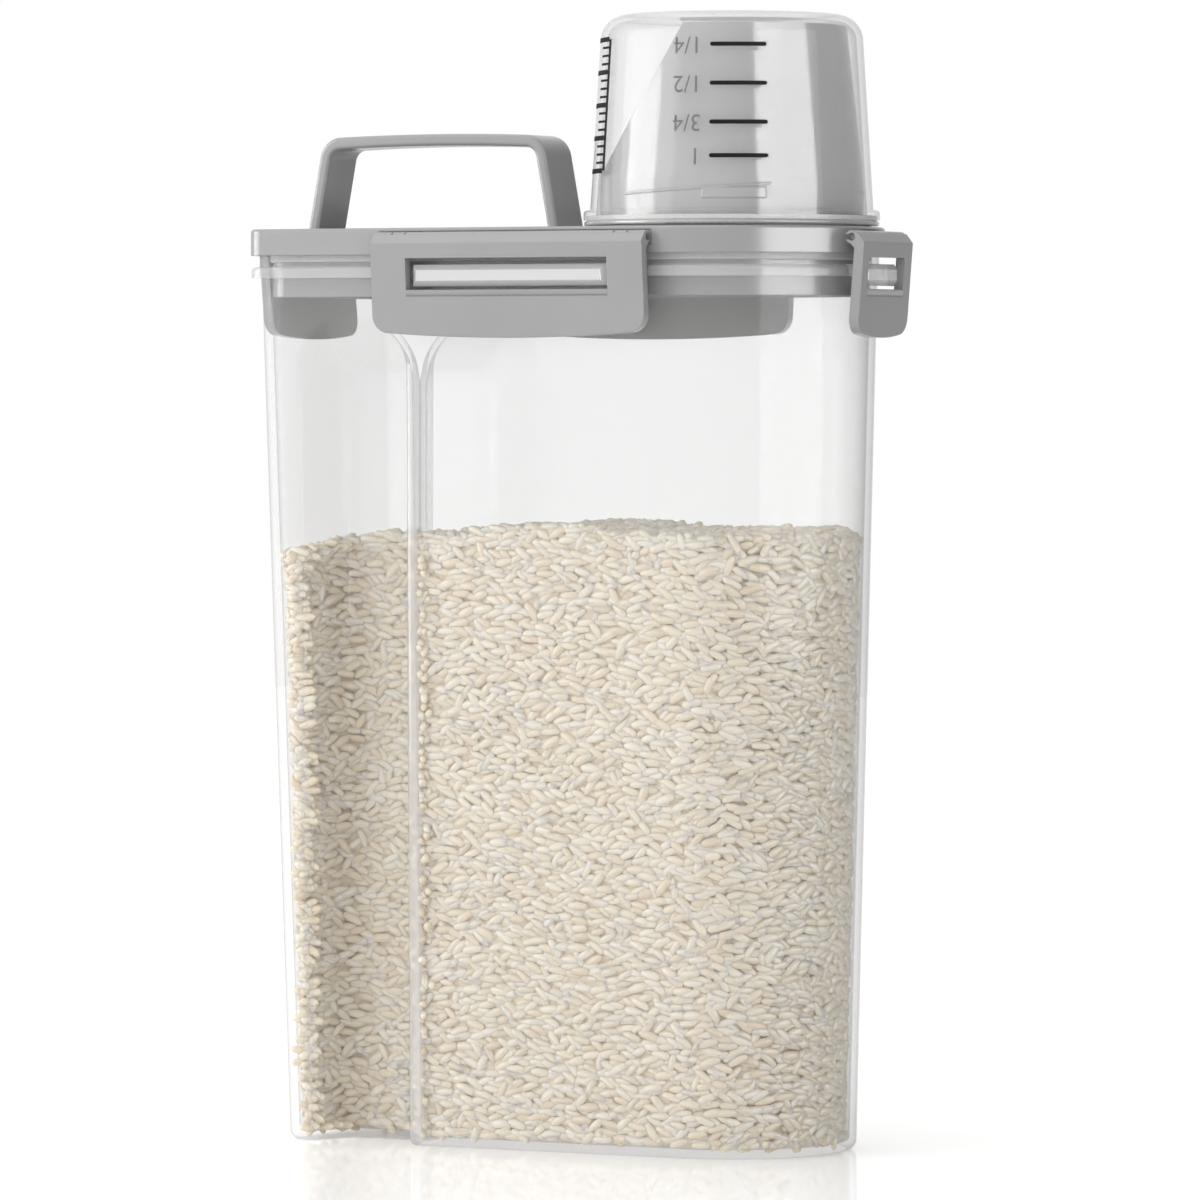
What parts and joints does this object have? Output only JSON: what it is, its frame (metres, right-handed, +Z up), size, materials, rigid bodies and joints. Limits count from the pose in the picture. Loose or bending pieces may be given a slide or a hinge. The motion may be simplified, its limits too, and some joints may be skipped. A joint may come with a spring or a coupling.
{
  "type": "rice storage container",
  "caption": "Clear rice keeper, flat at one end and round at the other, with a grey clip-on lid, arch handle, slanted pour spout and a measuring cup as its cap.",
  "frame": {"origin": "middle of the footprint on the surface it stands on", "axes": "+X along the length towards the spout, front is -Y, +Z up"},
  "size_m": [0.1916, 0.0996, 0.326],
  "materials": {
    "clear_plastic": "clear, polished",
    "grey_plastic": "satin moulded",
    "soft_seal": "matte silicone"
  },
  "bodies": {
    "container": {"container_body": "clear_plastic"},
    "lid": {"lid_cover": "grey_plastic", "lid_seal": "soft_seal", "carry_handle": "grey_plastic", "pour_spout": "grey_plastic", "spout_gasket": "soft_seal"},
    "front_clip": {"front_clip": "grey_plastic"},
    "rear_clip": {"rear_clip": "grey_plastic"},
    "left_clip": {"left_clip": "grey_plastic"},
    "right_clip": {"right_clip": "grey_plastic"},
    "cup_seal": {"cup_gasket": "soft_seal"},
    "cup": {"measuring_cup": "clear_plastic"}
  },
  "joints": [
    {"name": "lid_lift", "type": "slide", "parent": "container", "child": "lid", "axis": [0, 0, 1], "range_m": [0, 0.024]},
    {"name": "front_clip_hinge", "type": "hinge", "parent": "lid", "child": "front_clip", "pos_m": [0, -0.0458, 0.2618], "axis": [-1, 0, 0], "range_deg": [0, 95]},
    {"name": "rear_clip_hinge", "type": "hinge", "parent": "lid", "child": "rear_clip", "pos_m": [0, 0.0458, 0.2618], "axis": [1, 0, 0], "range_deg": [0, 95]},
    {"name": "left_clip_hinge", "type": "hinge", "parent": "lid", "child": "left_clip", "pos_m": [-0.0918, 0, 0.2618], "axis": [0, 1, 0], "range_deg": [0, 95]},
    {"name": "right_clip_hinge", "type": "hinge", "parent": "lid", "child": "right_clip", "pos_m": [0.0918, 0, 0.2618], "axis": [0, -1, 0], "range_deg": [0, 95]},
    {"name": "cup_lift", "type": "slide", "parent": "lid", "child": "cup_seal", "axis": [0, 0, 1], "range_m": [0, 0.07]},
    {"name": "cup_turn", "type": "hinge", "parent": "cup_seal", "child": "cup", "pos_m": [0.046, 0, 0.3], "axis": [0, 0, 1], "range_deg": [0, 90]}
  ],
  "couplings": [
    {"joint": "front_clip_hinge", "follows": "lid_lift", "rad_per_m": 69.079},
    {"joint": "rear_clip_hinge", "follows": "lid_lift", "rad_per_m": 69.079},
    {"joint": "left_clip_hinge", "follows": "lid_lift", "rad_per_m": 69.079},
    {"joint": "right_clip_hinge", "follows": "lid_lift", "rad_per_m": 69.079}
  ]
}
